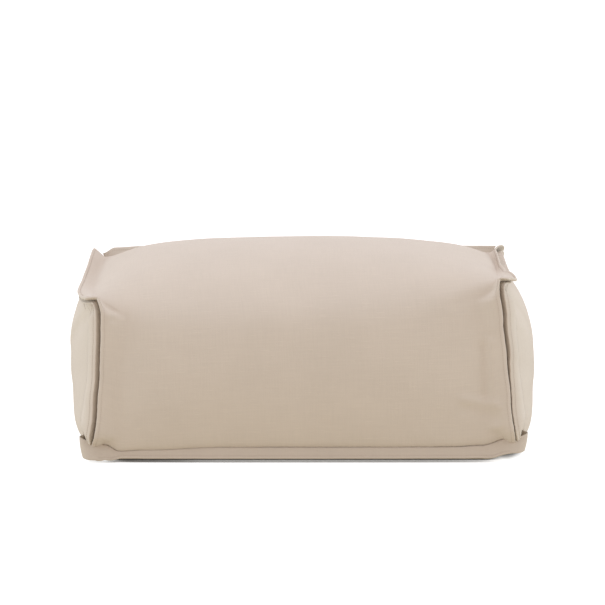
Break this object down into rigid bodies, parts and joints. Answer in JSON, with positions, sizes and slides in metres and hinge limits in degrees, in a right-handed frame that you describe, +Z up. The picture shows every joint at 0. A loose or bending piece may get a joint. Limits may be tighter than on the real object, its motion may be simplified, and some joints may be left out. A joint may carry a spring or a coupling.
{
  "type": "outdoor pouf",
  "caption": "Rectangular filled pouf in sand canvas with a softly rolled front edge, bulging ends and turned double-edge seams that stand out and end in small corner flaps.",
  "frame": {"origin": "on the floor under the middle of the pouf's bounding box", "axes": "+X along the long side, to the right when facing the front; the front faces -Y; +Z up"},
  "size_m": [0.8724, 0.68, 0.3788],
  "materials": {
    "sand_canvas": "matt plain-woven outdoor canvas",
    "sand_canvas_edge": "matt turned and stitched edge of the same canvas"
  },
  "bodies": {
    "root": {"filled_body": "sand_canvas", "wrap_lip_left": "sand_canvas_edge", "end_lip_left": "sand_canvas_edge", "wrap_lip_right": "sand_canvas_edge", "end_lip_right": "sand_canvas_edge", "front_base_flange": "sand_canvas_edge", "rear_top_flange": "sand_canvas_edge"}
  },
  "joints": []
}
